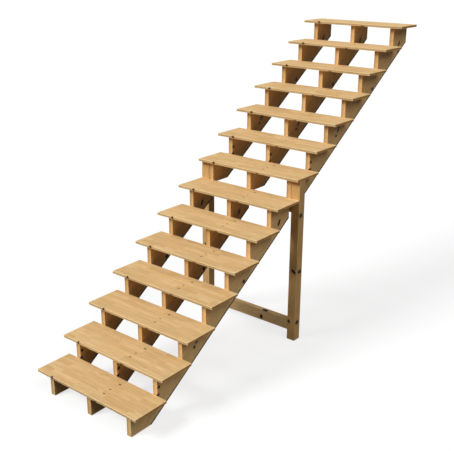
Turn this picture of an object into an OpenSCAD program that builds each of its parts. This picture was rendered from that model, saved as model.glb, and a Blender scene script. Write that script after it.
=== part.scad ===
// Open-riser outdoor stair in softwood.
// Fourteen overhanging treads lie on three notched stringer lines. Each line is
// two identical seven-step lengths: the lower one stands on the floor, and the
// upper one stands on a rail held between two square posts.
// Millimetres. +X is to the right when climbing, +Y is the way up, +Z is up.
// The origin is on the floor, at the centre of the stair's outline.

/* [Steps] */
// Height from one tread to the next
rise = 171.5; // [150:0.5:190]
// Distance from one riser face to the next
going = 253.5; // [225:0.5:300]
// How far a tread stands out in front of the riser face below it
nosing = 40; // [20:1:50]
// Width of the stair, which is the length of a tread
tread_w = 1000; // [800:10:1200]
// Thickness of a tread
tread_t = 20; // [16:1:40]

/* [Stringers] */
// Thickness of a stringer
stringer_t = 40; // [30:1:60]
// Depth of the board that a stringer is cut from
board_d = 250; // [205:5:300]
// How far a stringer length stops short of the next riser face
back_clear = 12; // [4:1:30]

/* [Support frame] */
// Side of a square post
post_s = 75; // [60:1:100]
// Clearance between a post and the stringer beside it
post_clear = 9; // [2:1:20]
// How far a post's outer face lies inside the end of the treads
post_inset = 3.5; // [0:0.5:20]
// Thickness of a cross rail
rail_t = 40; // [30:1:60]
// Depth of a cross rail
rail_h = 100; // [80:5:140]
// Height of the low rail above the floor
low_rail_z = 75; // [40:5:200]

/* [Hidden] */
STEPS = 7;
LEFT = -1;
CENTRE = 0;
RIGHT = 1;

// Slope of the stair, and the flat foot that it leaves on a stringer
pitch = atan(rise / going);
foot_l = (board_d / cos(pitch) - rise) * going / rise;

// Depth of a tread, which runs back to the riser face above it
tread_d = going + nosing;
// Overhang of the treads beyond the outer stringers, where the posts stand
overhang = post_inset + post_s + post_clear;
stringer_x = (tread_w - stringer_t) / 2 - overhang;
post_x = (tread_w - post_s) / 2 - post_inset;

// Length over all steps, from the first nosing to the back of the last tread
run = 2 * STEPS * going + nosing;
// The upper lengths start one length up the stair
join_y = STEPS * going;
join_z = STEPS * rise;
post_h = join_z + rise;
rail_l = 2 * post_x - post_s;
rail_y = nosing + join_y + (post_s - rail_t) / 2;

pale_wood = [0.85, 0.70, 0.48];
warm_wood = [0.80, 0.62, 0.40];
shaded_wood = [0.62, 0.49, 0.33];

// Height of the sloping back edge above the foot, at a distance y from the front
function back_edge_z(y) = (y - foot_l) * rise / going;

// Front outline of the steps, going up: two points for each riser
function step_points(n) = [for (k = [0 : n - 1], top = [0, 1]) [k * going, (k + top) * rise]];

// Outline of one stringer length, with its foot at the origin
function stringer_outline(n) = let (end_y = n * going - back_clear) concat(
    step_points(n),
    [[end_y, n * rise], [end_y, back_edge_z(end_y)], [foot_l, 0]]
);

// Moves the stair so that its origin is at the centre of its outline
module centred() {
    translate([0, -run / 2, 0])
        children();
}

// One notched length. side is LEFT, CENTRE or RIGHT; flight is 0 below and 1 above
module stringer(side, flight) {
    color(warm_wood)
        centred()
            translate([side * stringer_x - stringer_t / 2, nosing + flight * join_y, flight * join_z])
                rotate([90, 0, 90])
                    linear_extrude(height = stringer_t)
                        polygon(stringer_outline(STEPS));
}

// Tread k, counted from the floor
module tread(k) {
    color(pale_wood)
        centred()
            translate([-tread_w / 2, (k - 1) * going, k * rise])
                cube([tread_w, tread_d, tread_t]);
}

// Square post from the floor to the tread above the join
module post(side) {
    color(shaded_wood)
        centred()
            translate([side * post_x - post_s / 2, nosing + join_y, 0])
                cube([post_s, post_s, post_h]);
}

// Rail between the posts, with its underside at height z
module rail(z) {
    color(shaded_wood)
        centred()
            translate([-rail_l / 2, rail_y, z])
                cube([rail_l, rail_t, rail_h]);
}

stringer(LEFT, 0);  // lower_stringer_left
stringer(CENTRE, 0);  // lower_stringer_centre
stringer(RIGHT, 0);  // lower_stringer_right
stringer(LEFT, 1);  // upper_stringer_left
stringer(CENTRE, 1);  // upper_stringer_centre
stringer(RIGHT, 1);  // upper_stringer_right
post(LEFT);  // post_left
post(RIGHT);  // post_right
rail(join_z - rail_h);  // foot_rail
rail(low_rail_z);  // low_rail
tread(1);  // tread_01
tread(2);  // tread_02
tread(3);  // tread_03
tread(4);  // tread_04
tread(5);  // tread_05
tread(6);  // tread_06
tread(7);  // tread_07
tread(8);  // tread_08
tread(9);  // tread_09
tread(10);  // tread_10
tread(11);  // tread_11
tread(12);  // tread_12
tread(13);  // tread_13
tread(14);  // tread_14
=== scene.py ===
"""Looks of an open-riser outdoor stair in planed pine.

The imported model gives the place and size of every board. Each board is remade
here as a solid with eased arrises, and is dressed in pine whose growth rings
run through its whole thickness, so that a face, an edge and an end of the same
board agree. Lengths are metres and angles are degrees unless a name says
otherwise.
"""

import logging
import math
from dataclasses import dataclass, field
from enum import Enum
from typing import Any, Mapping, Sequence, Union

import bpy
import numpy as np
from mathutils import Matrix, Vector


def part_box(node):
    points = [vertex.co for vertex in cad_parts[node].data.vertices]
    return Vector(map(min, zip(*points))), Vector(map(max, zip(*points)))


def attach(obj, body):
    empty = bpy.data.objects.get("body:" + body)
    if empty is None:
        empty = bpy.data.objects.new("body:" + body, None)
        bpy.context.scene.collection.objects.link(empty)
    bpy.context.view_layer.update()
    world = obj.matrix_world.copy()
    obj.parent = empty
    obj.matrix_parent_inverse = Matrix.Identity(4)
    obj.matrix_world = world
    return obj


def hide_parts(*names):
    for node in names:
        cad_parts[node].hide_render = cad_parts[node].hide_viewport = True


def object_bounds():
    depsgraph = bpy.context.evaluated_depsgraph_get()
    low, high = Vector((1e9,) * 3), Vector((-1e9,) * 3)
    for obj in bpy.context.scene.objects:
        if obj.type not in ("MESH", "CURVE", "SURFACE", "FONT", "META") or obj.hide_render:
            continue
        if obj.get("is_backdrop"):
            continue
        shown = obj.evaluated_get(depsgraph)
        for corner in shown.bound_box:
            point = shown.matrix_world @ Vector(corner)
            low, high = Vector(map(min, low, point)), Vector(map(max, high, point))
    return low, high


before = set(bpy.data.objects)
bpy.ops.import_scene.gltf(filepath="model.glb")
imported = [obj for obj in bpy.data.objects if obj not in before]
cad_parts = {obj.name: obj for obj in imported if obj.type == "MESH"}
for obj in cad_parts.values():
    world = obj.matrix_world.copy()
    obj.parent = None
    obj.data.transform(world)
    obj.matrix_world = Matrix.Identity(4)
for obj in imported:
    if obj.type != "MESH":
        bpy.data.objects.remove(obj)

LOG = logging.getLogger("stair")
ROOT_BODY = "root"
GRAIN_ATTRIBUTE = "grain"
FIBRE_ATTRIBUTE = "fibre"
SEED_ATTRIBUTE = "seed"
ARRIS_ATTRIBUTE = "arris"


# --------------------------------------------------------------------------
# Shader expressions
# --------------------------------------------------------------------------


@dataclass(frozen=True)
class Wire:
    """An output socket of a node tree that takes part in arithmetic.

    Attributes:
        sheet: The node tree that the socket belongs to.
        socket: The socket itself.
    """

    sheet: "NodeSheet"
    socket: bpy.types.NodeSocket

    def __add__(self, other: "Signal") -> "Wire":
        """Sum."""
        return self.sheet.maths("ADD", self, other)

    __radd__ = __add__

    def __sub__(self, other: "Signal") -> "Wire":
        """Difference."""
        return self.sheet.maths("SUBTRACT", self, other)

    def __rsub__(self, other: "Signal") -> "Wire":
        """Difference with the operands the other way round."""
        return self.sheet.maths("SUBTRACT", other, self)

    def __mul__(self, other: "Signal") -> "Wire":
        """Product."""
        return self.sheet.maths("MULTIPLY", self, other)

    __rmul__ = __mul__

    def __truediv__(self, other: "Signal") -> "Wire":
        """Quotient."""
        return self.sheet.maths("DIVIDE", self, other)

    def __rtruediv__(self, other: "Signal") -> "Wire":
        """Quotient with the operands the other way round."""
        return self.sheet.maths("DIVIDE", other, self)

    def __pow__(self, other: "Signal") -> "Wire":
        """Power."""
        return self.sheet.maths("POWER", self, other)

    def __neg__(self) -> "Wire":
        """Negative."""
        return self.sheet.maths("MULTIPLY", self, -1.0)

    def floor(self) -> "Wire":
        """Whole number at or below the value."""
        return self.sheet.maths("FLOOR", self)

    def fraction(self) -> "Wire":
        """What is left above the whole number below."""
        return self.sheet.maths("FRACT", self)

    def magnitude(self) -> "Wire":
        """Value without its sign."""
        return self.sheet.maths("ABSOLUTE", self)

    def root(self) -> "Wire":
        """Square root."""
        return self.sheet.maths("SQRT", self)

    def ramp(self, low: float, high: float, start: float = 0.0, end: float = 1.0) -> "Wire":
        """Smooth step from start at low to end at high.

        Args:
            low: Value at which the step begins.
            high: Value at which the step ends.
            start: Result at and below low.
            end: Result at and above high.

        Returns:
            The stepped value.
        """
        inputs = {"Value": self, "From Min": low, "From Max": high, "To Min": start, "To Max": end}
        return self.sheet.node("ShaderNodeMapRange", {"interpolation_type": "SMOOTHSTEP"}, inputs)


Signal = Union[Wire, float, int, Sequence[float]]


@dataclass
class NodeSheet:
    """The node tree of one material or world, filled by method calls.

    Attributes:
        tree: The node tree that receives the nodes.
    """

    tree: bpy.types.NodeTree

    def __post_init__(self) -> None:
        """Empties the tree."""
        self.tree.nodes.clear()

    @staticmethod
    def _find(sockets: Any, key: Union[int, str]) -> bpy.types.NodeSocket:
        """Finds a socket by its index, its identifier or its name."""
        if isinstance(key, int):
            return sockets[key]
        return next(s for s in sockets if key in (s.identifier, s.name))

    def node(
        self,
        kind: str,
        settings: Mapping[str, Any] | None = None,
        inputs: Mapping[Union[int, str], Signal] | None = None,
        output: Union[int, str] = 0,
    ) -> Wire:
        """Adds a node.

        Args:
            kind: Blender's name for the type of node.
            settings: Properties of the node, set before its sockets.
            inputs: Value or wire of each socket, by index, identifier or name.
            output: The socket that is wanted.

        Returns:
            The wanted output socket, or the first if the node has none.
        """
        made = self.tree.nodes.new(kind)
        for name, value in (settings or {}).items():
            setattr(made, name, value)
        for key, value in (inputs or {}).items():
            socket = self._find(made.inputs, key)
            if isinstance(value, Wire):
                self.tree.links.new(value.socket, socket)
            else:
                socket.default_value = value
        return Wire(self, self._find(made.outputs, output) if made.outputs else None)

    def maths(self, operation: str, *values: Signal) -> Wire:
        """Adds a Math node for the operation on the values."""
        return self.node("ShaderNodeMath", {"operation": operation}, dict(enumerate(values)))

    def vector(self, operation: str, *values: Signal, output: Union[int, str] = 0) -> Wire:
        """Adds a Vector Math node for the operation on the values."""
        settings = {"operation": operation}
        return self.node("ShaderNodeVectorMath", settings, dict(enumerate(values)), output)

    def joined(self, x: Signal, y: Signal, z: Signal) -> Wire:
        """Makes a vector of three values."""
        return self.node("ShaderNodeCombineXYZ", None, {0: x, 1: y, 2: z})

    def parts(self, vector: Wire) -> tuple[Wire, Wire, Wire]:
        """Splits a vector into its three values."""
        first = self.node("ShaderNodeSeparateXYZ", None, {0: vector})
        outputs = first.socket.node.outputs
        return first, Wire(self, outputs[1]), Wire(self, outputs[2])

    def noise(self, place: Wire, detail: float = 2.0, roughness: float = 0.5) -> Wire:
        """Smooth noise about zero, from -0.5 to 0.5, at a place already scaled."""
        inputs = {"Vector": place, "Scale": 1.0, "Detail": detail, "Roughness": roughness}
        return self.node("ShaderNodeTexNoise", {"noise_dimensions": "3D"}, inputs, "Fac") - 0.5

    def chance(self, x: Signal, y: Signal, z: Signal) -> tuple[Wire, Wire, Wire]:
        """Three random values from 0 to 1 that are fixed for each set of whole numbers."""
        cell = self.joined(x, y, z)
        settings = {"noise_dimensions": "3D"}
        return self.parts(self.node("ShaderNodeTexWhiteNoise", settings, {"Vector": cell}, "Color"))

    def blend(self, factor: Signal, first: Signal, second: Signal, way: str = "MIX") -> Wire:
        """Mixes two colours.

        Args:
            factor: Share of the second colour.
            first: First colour.
            second: Second colour.
            way: Blender's name for the way of mixing.

        Returns:
            The mixed colour.
        """
        inputs = {"Factor_Float": factor, "A_Color": first, "B_Color": second}
        settings = {"data_type": "RGBA", "blend_type": way}
        return self.node("ShaderNodeMix", settings, inputs, "Result_Color")

    def attribute(self, name: str, output: str = "Vector") -> Wire:
        """Reads an attribute that a mesh carries."""
        return self.node("ShaderNodeAttribute", {"attribute_name": name}, None, output)


def paint(red: int, green: int, blue: int) -> tuple[float, float, float, float]:
    """Turns a colour as seen on a screen, 0 to 255, into a linear one.

    Args:
        red: Red part.
        green: Green part.
        blue: Blue part.

    Returns:
        Linear red, green, blue and an alpha of 1.
    """
    seen = np.array([red, green, blue]) / 255.0
    low, high = seen / 12.92, ((seen + 0.055) / 1.055) ** 2.4
    return (*np.where(seen <= 0.04045, low, high).tolist(), 1.0)


# --------------------------------------------------------------------------
# Pine
# --------------------------------------------------------------------------


@dataclass(frozen=True)
class Knot:
    """A knot, as an ellipsoid in a board's own directions.

    Attributes:
        place: Its centre along the fibres, across the face and through the board.
        reach: Its half sizes in the same directions, before it leans.
        lean: Angle from its first direction towards its second.
    """

    place: tuple[float, float, float]
    reach: tuple[float, float, float]
    lean: float = 0.0


@dataclass(frozen=True)
class Staves:
    """The strips that a panel is glued up from.

    Attributes:
        width: Width of a stave.
        length: Usual length of a stave between its finger joints.
        finger: Half length of the fingers of a joint.
        pitch: Distance between fingers.
    """

    width: float = 0.0420
    length: float = 0.23
    finger: float = 0.0040
    pitch: float = 0.0070


@dataclass(frozen=True)
class Pine:
    """Planed pine, solid or glued up from staves.

    The rings are cylinders about a pith that lies off the board, bent a little
    by noise and pushed aside by the knots, so they show as long lines on the
    faces and as arcs on the ends.

    Attributes:
        name: Name of the material.
        early: Colour of the pale spring wood.
        late: Colour of the darker summer wood.
        worn_and_highlit: Colour of the arrises, pale from rubbing and from a painted highlight.
        end: Tint of the end grain.
        knot_heart: Colour inside a knot.
        knot_rim: Colour of the bark ring around a knot.
        knots: Knots that every board of this kind has.
        ring_width: Usual distance between rings.
        pith: Where the pith lies across and through the board, and how far it strays.
        staves: How the board is glued up, or None where it is solid.
        tone_spread: How much boards and staves differ in brightness.
        figure: How strongly the rings show.
        mottle: How strongly the wood is clouded at the size of a thumb.
        arris_wear_and_highlight: How much paler the worn arrises are.
        painted_side_shading: Painted shade and light, as brightness at the near and at the far side of the
            board's thickness.
        dark_band_edge: Place across the board of an edge with a dark band along it, or None.
    """

    name: str
    early: tuple[float, float, float, float] = paint(224, 187, 131)
    late: tuple[float, float, float, float] = paint(196, 148, 88)
    worn_and_highlit: tuple[float, float, float, float] = paint(250, 222, 168)
    end: tuple[float, float, float, float] = paint(226, 176, 98)
    knot_heart: tuple[float, float, float, float] = paint(62, 33, 15)
    knot_rim: tuple[float, float, float, float] = paint(17, 9, 5)
    knots: tuple[Knot, ...] = ()
    ring_width: float = 0.0031
    pith: tuple[float, float, float] = (0.0, -0.06, 0.04)
    staves: Staves | None = None
    tone_spread: float = 0.10
    figure: float = 0.62
    mottle: float = 0.48
    # arris_wear_and_highlight: How much paler the arrises are, partly from rubbing and partly as a painted
    # highlight.
    arris_wear_and_highlight: float = 0.30
    painted_side_shading: tuple[float, float] = (1.0, 1.0)
    dark_band_edge: float | None = None

    def _layout(self, sheet: NodeSheet) -> dict[str, Wire]:
        """Works out the place in the wood, stave by stave.

        Args:
            sheet: Node tree of the material.

        Returns:
            The distances along, across and through, the stave's random values
            and how near the place is to a glue line.
        """
        along, across, through = sheet.parts(sheet.attribute(GRAIN_ATTRIBUTE))
        seed = sheet.attribute(SEED_ATTRIBUTE, "Fac")
        if self.staves is None:
            tone, side, depth = sheet.chance(seed, 3.0, 7.0)
            return {
                "along": along, "across": across, "through": through, "local": across,
                "seed": seed, "tone": tone, "side": side, "depth": depth, "joint": along * 0.0,
            }
        lay = self.staves
        strip = (across / lay.width).floor()
        shift, stretch, _ = sheet.chance(strip, seed, 1.0)
        zigzag = ((across / lay.pitch).fraction() - 0.5).magnitude() * (4.0 * lay.finger)
        length = lay.length * (0.75 + 0.5 * stretch)
        run = (along + zigzag) / length + shift * 5.0
        tone, side, depth = sheet.chance(strip, run.floor(), seed)
        local = across - (strip + 0.5) * lay.width
        seam = (lay.width / 2 - local.magnitude()).ramp(0.0002, 0.0009, 1.0, 0.0)
        end_gap = (0.5 - (run.fraction() - 0.5).magnitude()) * length
        butt = end_gap.ramp(0.0002, 0.0009, 1.0, 0.0)
        return {
            "along": along, "across": across, "through": through, "local": local,
            "seed": seed, "tone": tone, "side": side, "depth": depth,
            "joint": sheet.maths("MAXIMUM", seam, butt),
        }

    def _knot_distance(self, sheet: NodeSheet) -> Wire:
        """Distance from the nearest knot's centre, where 1 is its rim."""
        place = sheet.attribute(GRAIN_ATTRIBUTE)
        nearest: Signal = sheet.vector("LENGTH", place, output="Value") + 9.0
        for knot in self.knots:
            offset = sheet.vector("SUBTRACT", place, knot.place)
            if knot.lean:
                turn = {"Vector": offset, "Angle": -math.radians(knot.lean)}
                offset = sheet.node("ShaderNodeVectorRotate", {"rotation_type": "Z_AXIS"}, turn)
            scaled = sheet.vector("DIVIDE", offset, knot.reach)
            nearest = sheet.maths("MINIMUM", sheet.vector("LENGTH", scaled, output="Value"), nearest)
        return nearest

    def material(self) -> bpy.types.Material:
        """Builds the node tree.

        Returns:
            The finished material.
        """
        made = bpy.data.materials.new(self.name)
        made.use_nodes = True
        sheet = NodeSheet(made.node_tree)
        lay = self._layout(sheet)
        along, across, through = lay["along"], lay["across"], lay["through"]
        drift = lay["tone"] * 31.0 + lay["seed"] * 7.0

        knot = self._knot_distance(sheet)
        ragged = sheet.noise(sheet.joined(along * 260.0, across * 260.0, through * 260.0), 2.0)
        core = (knot + ragged * 0.35).ramp(0.88, 1.08, 1.0, 0.0)
        rim = core * (knot + ragged * 0.5).ramp(0.25, 0.80)
        halo = knot.ramp(0.9, 2.4, 1.0, 0.0)

        bend = sheet.noise(sheet.joined(along * 2.4 + drift, across * 9.0, through * 9.0), 2.0)
        ripple = sheet.noise(sheet.joined(along * 14.0 + drift, across * 60.0, through * 60.0), 1.0)
        pith_across, pith_through, stray = self.pith
        to_side = lay["local"] - pith_across - (lay["side"] - 0.5) * (2.0 * stray)
        to_depth = through - pith_through + lay["depth"] * stray
        radius = (to_side * to_side + to_depth * to_depth).root()
        radius = radius + bend * 0.010 + ripple * 0.0012 + halo * halo * 0.006
        ring = radius / self.ring_width
        phase = (ring + sheet.noise(sheet.joined(ring * 0.3, drift, 0.0), 1.0)).fraction()
        summer = phase.ramp(0.30, 0.86) * phase.ramp(0.90, 1.0, 1.0, 0.0)

        streak = sheet.noise(sheet.joined(along * 5.0 + drift, across * 170.0, through * 170.0), 3.0)
        fibre = sheet.noise(sheet.joined(along * 26.0 + drift, across * 950.0, through * 950.0), 2.0)
        cloud = sheet.noise(sheet.joined(along * 3.0 + drift, across * 11.0, through * 11.0), 2.0)
        patch = sheet.noise(sheet.joined(along * 11.0 + drift, across * 46.0, through * 46.0), 3.0)
        fleck = sheet.noise(sheet.joined(along * 30.0 + drift, across * 240.0, through * 90.0), 1.0)
        arris = sheet.attribute(ARRIS_ATTRIBUTE, "Fac")

        normal = sheet.node("ShaderNodeTexCoord", None, None, "Normal")
        facing = sheet.vector("DOT_PRODUCT", normal, sheet.attribute(FIBRE_ATTRIBUTE), output="Value")
        end_grain = facing.magnitude().ramp(0.90, 0.99)

        colour = sheet.blend(summer * self.figure, self.early, self.late)
        tone = (lay["tone"] - 0.5) * (2.0 * self.tone_spread)
        bright = 1.0 + streak * 0.26 + cloud * 0.22 + fibre * 0.16 + patch * self.mottle
        bright = bright + fleck.ramp(0.16, 0.26) * 0.10 - (-fleck).ramp(0.18, 0.28) * 0.14
        bright = bright * (1.0 - lay["joint"] * 0.16) * (1.0 - halo * 0.18)
        # Painted shade and light: the board is darker towards one side face and lighter towards the other.
        bright = bright * through.ramp(-0.018, 0.014, *self.painted_side_shading)
        shade = sheet.joined(bright * (1.0 + tone * 0.7), bright * (1.0 + tone), bright * (1.0 + tone * 1.4))
        colour = sheet.blend(1.0, colour, shade, "MULTIPLY")
        warm = (lay["side"] * 0.5 + 0.25 + cloud).ramp(0.35, 0.95)
        colour = sheet.blend(warm * 0.35, colour, sheet.blend(1.0, colour, (1.0, 0.90, 0.78, 1.0), "MULTIPLY"))
        grain_tint = sheet.blend(1.0, colour, self.end, "MULTIPLY")
        colour = sheet.blend(end_grain * 0.85, colour, grain_tint)
        # Paler arrises: partly rubbed wood and partly a painted highlight where the eased edges catch the
        # light.
        colour = sheet.blend(arris * self.arris_wear_and_highlight * (0.8 + streak), colour, self.worn_and_highlit)
        # A dark band along the given edge, near the side faces only.
        if self.dark_band_edge is not None:
            edge_band = (across - self.dark_band_edge + ragged * 0.002).ramp(0.0105, 0.0150, 1.0, 0.0)
            side = through.magnitude().ramp(0.0145, 0.0180)
            colour = sheet.blend(edge_band * side * 0.92, colour, self.knot_rim)
        colour = sheet.blend(core, colour, self.knot_heart)
        colour = sheet.blend(rim, colour, self.knot_rim)

        rough = 0.64 - summer * 0.08 + fibre * 0.10 - core * 0.12 + end_grain * 0.12
        relief = summer * -0.5 + fibre * 1.2 + streak * 0.4 - lay["joint"] * 1.2 - rim * 2.0
        bump_inputs = {"Strength": 0.35, "Distance": 0.0004, "Height": relief}
        bump = sheet.node("ShaderNodeBump", None, bump_inputs)
        shader_inputs = {
            "Base Color": colour, "Roughness": rough, "Normal": bump,
            "Specular IOR Level": 0.08,
        }
        shader = sheet.node("ShaderNodeBsdfPrincipled", None, shader_inputs)
        sheet.node("ShaderNodeOutputMaterial", None, {"Surface": shader})
        return made


# --------------------------------------------------------------------------
# Boards
# --------------------------------------------------------------------------


def unit(vector: np.ndarray) -> np.ndarray:
    """Scales vectors along the last axis to a length of 1."""
    return vector / np.linalg.norm(vector, axis=-1, keepdims=True)


@dataclass(frozen=True)
class Outline:
    """A closed outline with rounded corners.

    Attributes:
        points: Points of the outline, of shape (count, 2).
        normals: Outward unit normals there.
        arris: 1 on the rounded corners and 0 on the flats between them.
        give: How far each point may be drawn in before its corner would turn over.
    """

    points: np.ndarray
    normals: np.ndarray
    arris: np.ndarray
    give: np.ndarray


def softened_outline(corners: np.ndarray, radius: float, steps: int, band: float) -> Outline:
    """Rounds every corner of a closed outline.

    Each corner is replaced by an arc that touches both of its sides. With unit
    normals a and b of the two sides, the arc's centre lies at the corner plus
    or minus radius * (a + b) / (1 + a.b), inside the solid at an outer corner
    and outside it at an inner one, and its points lie one radius from there
    along a normal that turns evenly from a to b. One more point lies a band's
    width before the arc and one after it, on the flats.

    Args:
        corners: Corners in order, anticlockwise, of shape (count, 2).
        radius: Radius of the arcs.
        steps: Number of points on each arc.
        band: Width of the flat next to an arc that the arris mask fades over.

    Returns:
        The outline, with steps + 2 points for each corner.
    """
    side = unit(np.roll(corners, -1, axis=0) - corners)
    arriving = np.roll(side, 1, axis=0)
    after = np.stack([side[:, 1], -side[:, 0]], axis=1)
    before = np.roll(after, 1, axis=0)
    turn = np.arctan2(
        before[:, 0] * after[:, 1] - before[:, 1] * after[:, 0], (before * after).sum(axis=1)
    )
    start = np.arctan2(before[:, 1], before[:, 0])
    angle = start[:, None] + turn[:, None] * np.linspace(0.0, 1.0, steps)[None, :]
    normal = np.stack([np.cos(angle), np.sin(angle)], axis=2)
    signed = radius * np.sign(turn)[:, None]
    centre = corners - signed * (before + after) / (1.0 + (before * after).sum(axis=1))[:, None]
    arc = centre[:, None, :] + signed[:, None, :] * normal
    lead, tail = arc[:, :1] - band * arriving[:, None], arc[:, -1:] + band * side[:, None]
    points = np.concatenate([lead, arc, tail], axis=1)
    normals = np.concatenate([normal[:, :1], normal, normal[:, -1:]], axis=1)
    on_arc = np.zeros(steps + 2)
    on_arc[1:-1] = 1.0
    outer = on_arc[None, :] * (turn > 0.0)[:, None]
    give = np.where(outer > 0.0, radius * 0.9, 1.0)
    arris = np.broadcast_to(on_arc, outer.shape)
    return Outline(points.reshape(-1, 2), normals.reshape(-1, 2), arris.ravel(), give.ravel())


@dataclass(frozen=True)
class EasedSlab:
    """A board: an outline carried through its thickness, with every arris eased.

    Attributes:
        corners: Outline of the board in its own plane, anticlockwise.
        thickness: Thickness of the board.
        ease: Radius of the eased arrises.
        steps: Number of points on each arc.
        band: Width of the flat next to an arris that the arris mask fades over.
    """

    corners: np.ndarray
    thickness: float
    ease: float
    steps: int = 4
    band: float = 0.0036

    def surface(self) -> tuple[np.ndarray, np.ndarray, np.ndarray]:
        """Works out the surface as rows of outlines.

        Near each face, at an angle t from 0 to 90 degrees, the outline is
        drawn in by ease * (1 - sin t) at a depth of ease * (1 - cos t), and
        the surface's normal is the outline's normal times sin t plus the
        face's normal times cos t. One more row lies a band further in on the
        face, and one a band further down on the side.

        Returns:
            Points and normals of shape (rows, outline points, 3), and the mask
            of the arrises, of shape (rows, outline points).
        """
        line = softened_outline(self.corners, self.ease * 1.25, self.steps, self.band)
        arc = np.linspace(0.0, math.pi / 2, self.steps)
        sine = np.concatenate([[0.0], np.sin(arc), [1.0]])
        cosine = np.concatenate([[1.0], np.cos(arc), [0.0]])
        inwards = self.ease * (1.0 - sine)
        inwards[0] += self.band
        depth = self.ease * (1.0 - cosine)
        depth[-1] += self.band
        on_arc = np.concatenate([[0.0], np.ones(self.steps), [0.0]])
        height = np.concatenate([depth, self.thickness - depth[::-1]])
        tilt = np.concatenate([-cosine, cosine[::-1]])
        inwards, sine, on_arc = (np.concatenate([row, row[::-1]]) for row in (inwards, sine, on_arc))
        drawn_in = np.minimum(inwards[:, None], line.give[None])
        flat = line.points[None] - drawn_in[..., None] * line.normals[None]
        up = np.broadcast_to(height[:, None, None], (*flat.shape[:2], 1))
        rise = np.broadcast_to(tilt[:, None, None], up.shape)
        lean = line.normals[None] * sine[:, None, None]
        arris_mask = np.maximum(on_arc[:, None], line.arris[None] * (sine == 1.0)[:, None])
        return np.concatenate([flat, up], axis=2), np.concatenate([lean, rise], axis=2), arris_mask

    def faces(self, rows: int, count: int) -> list[list[int]]:
        """Joins the rows by quads and closes the two faces.

        Args:
            rows: Number of rows.
            count: Number of points in a row.

        Returns:
            Corner indices of each face, turned outwards.
        """
        row, place = np.meshgrid(np.arange(rows - 1), np.arange(count), indexing="ij")
        here, beside = row * count + place, row * count + (place + 1) % count
        quads = np.stack([here, beside, beside + count, here + count], axis=-1).reshape(-1, 4)
        bottom, top = np.arange(count)[::-1], np.arange(count) + (rows - 1) * count
        return [*quads.tolist(), bottom.tolist(), top.tolist()]


@dataclass(frozen=True)
class Placing:
    """Where a board lies, and how its fibres run.

    Attributes:
        origin: Point that the board's own outline is measured from.
        axes: Directions of the outline's two axes and of the thickness, as rows.
        grain_origin: Point that the fibres are measured from.
        grain: Directions along the fibres, across the face and through the board, as rows.
    """

    origin: np.ndarray
    axes: np.ndarray
    grain_origin: np.ndarray
    grain: np.ndarray


class Plane(Enum):
    """The plane that a board's outline is drawn in, with the axes of its outline and thickness."""

    LEVEL = ((1.0, 0.0, 0.0), (0.0, 1.0, 0.0), (0.0, 0.0, 1.0))
    SIDE = ((0.0, 1.0, 0.0), (0.0, 0.0, 1.0), (1.0, 0.0, 0.0))

    @property
    def axes(self) -> np.ndarray:
        """Axes as the rows of a matrix."""
        return np.array(self.value)


@dataclass
class Board:
    """One board as a mesh object that stands for a CAD node.

    Attributes:
        node: Name of the CAD node that it stands for, or None for trim.
        label: Name of the piece.
        slab: Shape of the board.
        placing: Where it lies.
        slot: Material slot of the record, not used.
        seed: Number that sets the board's own grain.
    """

    node: str | None
    label: str
    slab: EasedSlab
    placing: Placing
    slot: str
    seed: float

    def build(self, material: bpy.types.Material) -> bpy.types.Object:
        """Makes the mesh, dresses it and hands it to the frame.

        Args:
            material: Finish of the board.

        Returns:
            The finished object.
        """
        points, normals, arris_mask = self.slab.surface()
        rows, count = points.shape[:2]
        local = points.reshape(-1, 3)
        places = self.placing.origin + local @ self.placing.axes
        mesh = bpy.data.meshes.new(self.label)
        mesh.from_pydata(places.tolist(), [], self.slab.faces(rows, count))
        mesh.polygons.foreach_set("use_smooth", np.ones(len(mesh.polygons), bool))
        mesh.normals_split_custom_set_from_vertices(normals.reshape(-1, 3) @ self.placing.axes)
        self._attributes(mesh, places, arris_mask.ravel())
        mesh.materials.append(material)
        mesh.update()
        piece = bpy.data.objects.new(self.label, mesh)
        bpy.context.scene.collection.objects.link(piece)
        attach(piece, ROOT_BODY)
        if self.node is not None:
            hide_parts(self.node)
        return piece

    def _attributes(self, mesh: bpy.types.Mesh, places: np.ndarray, arris_mask: np.ndarray) -> None:
        """Stores each point's place in the wood, the fibre direction, the seed and the arris mask."""
        grain = (places - self.placing.grain_origin) @ self.placing.grain.T
        fibre = np.broadcast_to(self.placing.grain[0], grain.shape)
        for name, values in ((GRAIN_ATTRIBUTE, grain), (FIBRE_ATTRIBUTE, fibre)):
            stored = mesh.attributes.new(name, "FLOAT_VECTOR", "POINT")
            stored.data.foreach_set("vector", np.ascontiguousarray(values, np.float32).ravel())
        for name, values in ((SEED_ATTRIBUTE, np.full(len(places), self.seed)), (ARRIS_ATTRIBUTE, arris_mask)):
            stored = mesh.attributes.new(name, "FLOAT", "POINT")
            stored.data.foreach_set("value", np.ascontiguousarray(values, np.float32))


def rectangle(width: float, height: float) -> np.ndarray:
    """Corners of a rectangle with one corner at the origin, anticlockwise."""
    return np.array([(0.0, 0.0), (width, 0.0), (width, height), (0.0, height)])


def node_box(node: str) -> tuple[np.ndarray, np.ndarray]:
    """Lowest and highest corners of a CAD node, as arrays."""
    low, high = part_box(node)
    return np.array(low), np.array(high)


# --------------------------------------------------------------------------
# Sub-assemblies
# --------------------------------------------------------------------------


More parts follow.
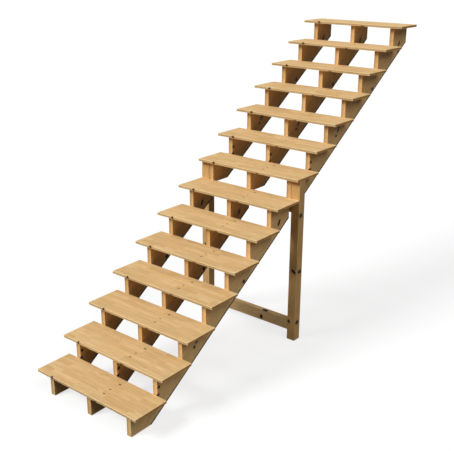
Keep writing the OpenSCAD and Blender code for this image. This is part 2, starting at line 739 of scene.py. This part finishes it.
@dataclass
class Treads:
    """The fourteen panels that people step on.

    Attributes:
        count: Number of treads.
        ease: Radius of their eased arrises.
        finish: Their pine.
    """

    count: int = 14
    ease: float = 0.0022
    finish: Pine = field(
        default_factory=lambda: Pine(
            name="tread_pine",
            staves=Staves(),
            early=paint(227, 191, 137),
            late=paint(200, 156, 100),
            pith=(0.0, -0.045, 0.05),
            figure=0.42,
            tone_spread=0.095,
            mottle=0.30,
            knot_heart=paint(112, 66, 34),
            knot_rim=paint(62, 34, 18),
            # Strong pale arrises: partly rubbed wood and partly a painted highlight on the tread edges.
            arris_wear_and_highlight=0.95,
            knots=(
                Knot((0.112, 0.233, 0.010), (0.0095, 0.0060, 0.05)),
                Knot((0.104, 0.148, 0.010), (0.0080, 0.0042, 0.05)),
                Knot((0.111, 0.086, 0.010), (0.0085, 0.0048, 0.05)),
                Knot((-0.335, 0.002, 0.012), (0.0130, 0.0070, 0.0100)),
                Knot((0.116, 0.000, 0.001), (0.0140, 0.0050, 0.0050)),
            ),
        )
    )

    def build(self) -> list[bpy.types.Object]:
        """Builds and dresses every tread.

        Returns:
            The finished pieces, from the floor up.
        """
        material = self.finish.material()
        return [self._tread(number, material) for number in range(1, self.count + 1)]

    def _tread(self, number: int, material: bpy.types.Material) -> bpy.types.Object:
        """Builds tread number, counted from the floor."""
        node = f"tread_{number:02d}"
        low, high = node_box(node)
        width, depth, thickness = high - low
        middle_front = np.array([(low[0] + high[0]) / 2, low[1], low[2]])
        placing = Placing(low, Plane.LEVEL.axes, middle_front, np.eye(3))
        slab = EasedSlab(rectangle(width, depth), thickness, self.ease)
        board = Board(node, f"tread_panel_{number:02d}", slab, placing, "tread_wood", number)
        return board.build(material)


@dataclass
class Stringers:
    """The notched lengths that carry the treads.

    Attributes:
        steps: Steps cut in one length.
        board_depth: Depth of the board that a length is cut from.
        ease: Radius of their eased arrises.
        finish: Their pine.
    """

    steps: int = 7
    board_depth: float = 0.250
    ease: float = 0.0018
    finish: Pine = field(
        default_factory=lambda: Pine(
            name="stringer_pine",
            early=paint(222, 184, 128),
            late=paint(192, 142, 84),
            pith=(0.02, 0.09, 0.03),
            ring_width=0.0036,
            figure=0.50,
            # Painted shade on the stringers' left faces and painted light on their right faces.
            painted_side_shading=(0.84, 1.20),
            # Dark band along the lower slope edge.
            dark_band_edge=-0.108,
            knots=(
                Knot((1.945, -0.036, 0.0), (0.0300, 0.0125, 0.06), 30.0),
                Knot((1.389, -0.077, 0.0), (0.0155, 0.0140, 0.06)),
                Knot((0.752, -0.022, 0.0), (0.0130, 0.0120, 0.06)),
                Knot((0.802, 0.000, 0.0), (0.0300, 0.0120, 0.06), 30.0),
                Knot((0.367, 0.058, 0.017), (0.0130, 0.0110, 0.012)),
                Knot((0.329, 0.016, 0.017), (0.0120, 0.0100, 0.012)),
                Knot((1.901, -0.097, 0.0), (0.0160, 0.0130, 0.06)),
            ),
        )
    )

    def build(self) -> list[bpy.types.Object]:
        """Builds and dresses both lengths of every line.

        Returns:
            The finished pieces, lower lengths first.
        """
        material = self.finish.material()
        lines = ("left", "centre", "right")
        names = [f"{flight}_stringer_{line}" for flight in ("lower", "upper") for line in lines]
        return [self._length(name, seed, material) for seed, name in enumerate(names, 31)]

    def _outline(self, rise: float, going: float, reach: float) -> np.ndarray:
        """Corners of a length, from the toe of its foot.

        Args:
            rise: Height of one step.
            going: Depth of one step.
            reach: Distance from the first riser face to the upright cut at the back.

        Returns:
            Corners in the (forwards, upwards) plane, anticlockwise.
        """
        pitch = math.atan2(rise, going)
        foot = (self.board_depth / math.cos(pitch) - rise) * going / rise
        corner = np.arange(self.steps)
        nosings = np.stack([corner * going, (corner + 1) * rise], axis=1)
        throats = np.stack([corner * going, corner * rise], axis=1)
        steps = np.stack([throats, nosings], axis=1).reshape(-1, 2)
        back = [(reach, self.steps * rise), (reach, (reach - foot) * rise / going), (foot, 0.0)]
        return np.concatenate([steps, back])[::-1]

    def _length(self, node: str, seed: int, material: bpy.types.Material) -> bpy.types.Object:
        """Builds the length that stands for a CAD node."""
        low, high = node_box(node)
        first, second = node_box("tread_01")[0], node_box("tread_02")[0]
        rise, going = float(second[2] - first[2]), float(second[1] - first[1])
        slab = EasedSlab(self._outline(rise, going, high[1] - low[1]), high[0] - low[0], self.ease)
        slope = unit(np.array([0.0, going, rise]))
        square = np.array([0.0, -slope[2], slope[1]])
        middle = np.array([(low[0] + high[0]) / 2, low[1], low[2]])
        grain = np.stack([slope, square, np.array([1.0, 0.0, 0.0])])
        placing = Placing(low, Plane.SIDE.axes, middle, grain)
        label = node.replace("stringer", "string")
        return Board(node, label, slab, placing, "stringer_wood", seed).build(material)


@dataclass
class SupportFrame:
    """The two posts and the two rails between them.

    Attributes:
        ease: Radius of their eased arrises.
        packer_ease: Radius of the eased arrises of the packers.
        packer_inset: How far a packer lies behind the post's faces.
        post_finish: Pine of the posts.
        rail_finish: Pine of the rails.
    """

    ease: float = 0.0030
    packer_ease: float = 0.0006
    packer_inset: float = 0.0055
    post_finish: Pine = field(
        default_factory=lambda: Pine(
            name="post_pine",
            early=paint(226, 184, 122),
            late=paint(194, 144, 86),
            pith=(0.015, -0.02, 0.015),
            ring_width=0.0034,
            knots=(
                Knot((0.614, 0.008, -0.030), (0.0250, 0.0140, 0.018), -50.0),
                Knot((0.611, 0.036, 0.002), (0.0175, 0.0110, 0.022)),
                Knot((1.090, 0.036, -0.012), (0.0175, 0.0110, 0.022)),
                Knot((0.164, -0.022, -0.036), (0.0160, 0.0140, 0.014)),
                Knot((0.160, 0.036, -0.004), (0.0175, 0.0110, 0.022)),
            ),
        )
    )
    rail_finish: Pine = field(
        default_factory=lambda: Pine(
            name="rail_pine",
            early=paint(234, 200, 146),
            late=paint(204, 160, 104),
            pith=(0.01, -0.05, 0.02),
            ring_width=0.0034,
            knots=(
                Knot((0.180, 0.098, -0.012), (0.0280, 0.0070, 0.016)),
                Knot((0.144, 0.032, -0.020), (0.0150, 0.0190, 0.018)),
            ),
        )
    )

    def build(self) -> list[bpy.types.Object]:
        """Builds and dresses the posts and the rails.

        Returns:
            The finished pieces.
        """
        upright, level = self.post_finish.material(), self.rail_finish.material()
        posts = [self._post(side, seed, upright) for seed, side in enumerate(("left", "right"), 41)]
        packers = [self._packer(side, seed, upright) for seed, side in enumerate(("left", "right"), 61)]
        rails = [self._rail(name, seed, level) for seed, name in enumerate(("foot", "low"), 51)]
        return posts + packers + rails

    def _post(self, side: str, seed: int, material: bpy.types.Material) -> bpy.types.Object:
        """Builds the post of one side, with its fibres upright."""
        node = f"post_{side}"
        low, high = node_box(node)
        size = high - low
        slab = EasedSlab(rectangle(size[0], size[1]), size[2], self.ease)
        foot = np.array([(low[0] + high[0]) / 2, (low[1] + high[1]) / 2, low[2]])
        grain = np.array([(0.0, 0.0, 1.0), (1.0, 0.0, 0.0), (0.0, 1.0, 0.0)])
        placing = Placing(low, Plane.LEVEL.axes, foot, grain)
        return Board(node, f"square_post_{side}", slab, placing, "frame_wood", seed).build(material)

    def _packer(self, side: str, seed: int, material: bpy.types.Material) -> bpy.types.Object:
        """Builds the packer that fills the gap between a post and its upper stringer."""
        stringer_low, stringer_high = node_box(f"upper_stringer_{side}")
        post_low, post_high = node_box(f"post_{side}")
        left = side == "left"
        low = np.array([(post_high if left else stringer_high)[0], post_low[1], stringer_low[2]])
        high = np.array([(stringer_low if left else post_low)[0], post_high[1], post_high[2]])
        inset = np.array([0.0, self.packer_inset, 0.0])
        low, size = low + inset, high - low - 2.0 * inset
        slab = EasedSlab(rectangle(size[0], size[1]), size[2], self.packer_ease, band=0.001)
        grain = np.array([(0.0, 0.0, 1.0), (1.0, 0.0, 0.0), (0.0, 1.0, 0.0)])
        foot = low + size * np.array([0.5, 0.5, -0.05])
        placing = Placing(low, Plane.LEVEL.axes, foot, grain)
        return Board(None, f"packer_{side}", slab, placing, "frame_wood", seed).build(material)

    def _rail(self, name: str, seed: int, material: bpy.types.Material) -> bpy.types.Object:
        """Builds a rail, with its fibres along it."""
        node = f"{name}_rail"
        low, high = node_box(node)
        size = high - low
        slab = EasedSlab(rectangle(size[1], size[2]), size[0], self.ease)
        middle = np.array([(low[0] + high[0]) / 2, (low[1] + high[1]) / 2, low[2]])
        grain = np.array([(1.0, 0.0, 0.0), (0.0, 0.0, 1.0), (0.0, 1.0, 0.0)])
        placing = Placing(low, Plane.SIDE.axes, middle, grain)
        return Board(node, f"cross_rail_{name}", slab, placing, "frame_wood", seed).build(material)


# --------------------------------------------------------------------------
# Studio
# --------------------------------------------------------------------------


@dataclass
class Studio:
    """Camera, lights and floor.

    Attributes:
        aim: Point that the camera looks at, from the centre of the stair.
        distance: Distance of the camera from there.
        azimuth: Angle of the view to the right of straight on.
        elevation: Angle of the view above level.
        roll: Turn of the camera about its view.
        lens: Focal length in millimetres, on a film 36 mm wide.
        key_azimuth: Angle of the main light to the left of straight on.
        key_elevation: Angle of the main light above level.
        key_strength: Strength of the main light.
        key_softness: Angle that the main light fills.
        fill_azimuth: The same four values of the second light, from the right and above.
        fill_elevation: See fill_azimuth.
        fill_strength: See fill_azimuth.
        fill_softness: See fill_azimuth.
        sky: Brightness of the light from all round.
        floor_tone: How much light the floor sends back.
        floor_radius: How far the floor reaches.
    """

    aim: tuple[float, float, float] = (0.0, -0.2527, -0.2468)
    distance: float = 5.978
    azimuth: float = 39.03
    elevation: float = 20.03
    roll: float = 0.27
    lens: float = 59.63
    key_azimuth: float = 28.0
    key_elevation: float = 43.0
    key_strength: float = 2.75
    key_softness: float = 24.0
    fill_azimuth: float = -82.0
    fill_elevation: float = 48.0
    fill_strength: float = 1.02
    fill_softness: float = 40.0
    sky: float = 0.070
    floor_tone: float = 0.07
    floor_radius: float = 90.0

    def build(self) -> None:
        """Sets up everything that isn't the stair."""
        view = bpy.context.scene.view_settings
        view.view_transform = "Standard"
        self._camera()
        self._lamp("key", self.key_azimuth, self.key_elevation, self.key_strength, self.key_softness)
        self._lamp(
            "fill", self.fill_azimuth, self.fill_elevation, self.fill_strength, self.fill_softness
        )
        self._sky()
        self._floor()

    @staticmethod
    def _direction(azimuth: float, elevation: float) -> Vector:
        """Unit vector from the stair towards a light or camera."""
        turn, climb = math.radians(azimuth), math.radians(elevation)
        level = math.cos(climb)
        return Vector((math.sin(turn) * level, -math.cos(turn) * level, math.sin(climb)))

    def _camera(self) -> None:
        """Places the camera."""
        low, high = (Vector(corner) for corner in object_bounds())
        back = self._direction(self.azimuth, self.elevation)
        place = (low + high) / 2 + Vector(self.aim) + back * self.distance
        right = Vector((0.0, 0.0, 1.0)).cross(back).normalized()
        turn = Matrix.Rotation(math.radians(self.roll), 3, back)
        right = turn @ right
        up = back.cross(right)
        data = bpy.data.cameras.new("viewpoint")
        data.lens, data.sensor_width, data.sensor_fit = self.lens, 36.0, "HORIZONTAL"
        data.clip_end = 500.0
        camera = bpy.data.objects.new("viewpoint", data)
        frame_of_view = Matrix((right, up, back)).transposed().to_4x4()
        camera.matrix_world = Matrix.Translation(place) @ frame_of_view
        bpy.context.scene.collection.objects.link(camera)
        bpy.context.scene.camera = camera

    def _lamp(
        self, name: str, azimuth: float, elevation: float, strength: float, softness: float
    ) -> None:
        """Adds a far lamp.

        Args:
            name: Name of the lamp.
            azimuth: Angle of the lamp to the left of straight on.
            elevation: Angle of the lamp above level.
            strength: Its strength.
            softness: Angle that it fills.
        """
        data = bpy.data.lights.new(name, "SUN")
        data.energy = strength
        data.angle = math.radians(softness)
        light = bpy.data.objects.new(name, data)
        towards = self._direction(-azimuth, elevation)
        light.rotation_euler = towards.to_track_quat("Z", "Y").to_euler()
        bpy.context.scene.collection.objects.link(light)

    def _seen(self, sheet: NodeSheet) -> Wire:
        """1 where the eye, a reflection or a clear body looks, and 0 for light on its way."""
        camera = sheet.node("ShaderNodeLightPath", None, None, "Is Camera Ray")
        glossy = sheet.node("ShaderNodeLightPath", None, None, "Is Glossy Ray")
        clear = sheet.node("ShaderNodeLightPath", None, None, "Is Transmission Ray")
        return sheet.maths("MAXIMUM", sheet.maths("MAXIMUM", camera, glossy), clear)

    def _sky(self) -> None:
        """Makes the surroundings: white to the eye, gentle as a light."""
        world = bpy.data.worlds.new("surroundings")
        world.use_nodes = True
        sheet = NodeSheet(world.node_tree)
        strength = self.sky + self._seen(sheet) * (1.0 - self.sky)
        inputs = {"Color": (1.0, 1.0, 1.0, 1.0), "Strength": strength}
        background = sheet.node("ShaderNodeBackground", None, inputs)
        sheet.node("ShaderNodeOutputWorld", None, {"Surface": background})
        bpy.context.scene.world = world

    def _floor(self) -> None:
        """Lays a pale floor that keeps the stair's shadow."""
        turn = np.linspace(0.0, 2.0 * math.pi, 96, endpoint=False)
        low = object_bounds()[0][2]
        rim = np.stack([np.cos(turn), np.sin(turn), turn * 0.0], axis=1) * self.floor_radius
        rim[:, 2] = low
        mesh = bpy.data.meshes.new("floor")
        mesh.from_pydata(rim.tolist(), [], [list(range(len(rim)))])
        material = bpy.data.materials.new("pale_floor")
        material.use_nodes = True
        sheet = NodeSheet(material.node_tree)
        tone = (self.floor_tone,) * 3 + (1.0,)
        bounce = sheet.node("ShaderNodeBsdfDiffuse", None, {"Color": tone})
        lit = sheet.node("ShaderNodeBsdfDiffuse", None, {"Color": (0.32, 0.32, 0.32, 1.0)})
        glow = sheet.node("ShaderNodeEmission", None, {"Color": (1, 1, 1, 1), "Strength": 0.74})
        shown = sheet.node("ShaderNodeAddShader", None, {0: lit, 1: glow})
        mixed = sheet.node("ShaderNodeMixShader", None, {0: self._seen(sheet), 1: bounce, 2: shown})
        sheet.node("ShaderNodeOutputMaterial", None, {"Surface": mixed})
        mesh.materials.append(material)
        floor = bpy.data.objects.new("floor", mesh)
        bpy.context.scene.collection.objects.link(floor)
        floor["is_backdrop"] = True


# --------------------------------------------------------------------------
# Making
# --------------------------------------------------------------------------


def main() -> None:
    """Builds the studio and the stair."""
    logging.basicConfig(level=logging.INFO, format="%(name)s: %(message)s")
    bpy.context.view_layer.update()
    Studio().build()
    for assembly in (Treads(), Stringers(), SupportFrame()):
        for piece in assembly.build():
            LOG.info("%s: %d faces", piece.name, len(piece.data.polygons))


if __name__ == "__main__":
    main()
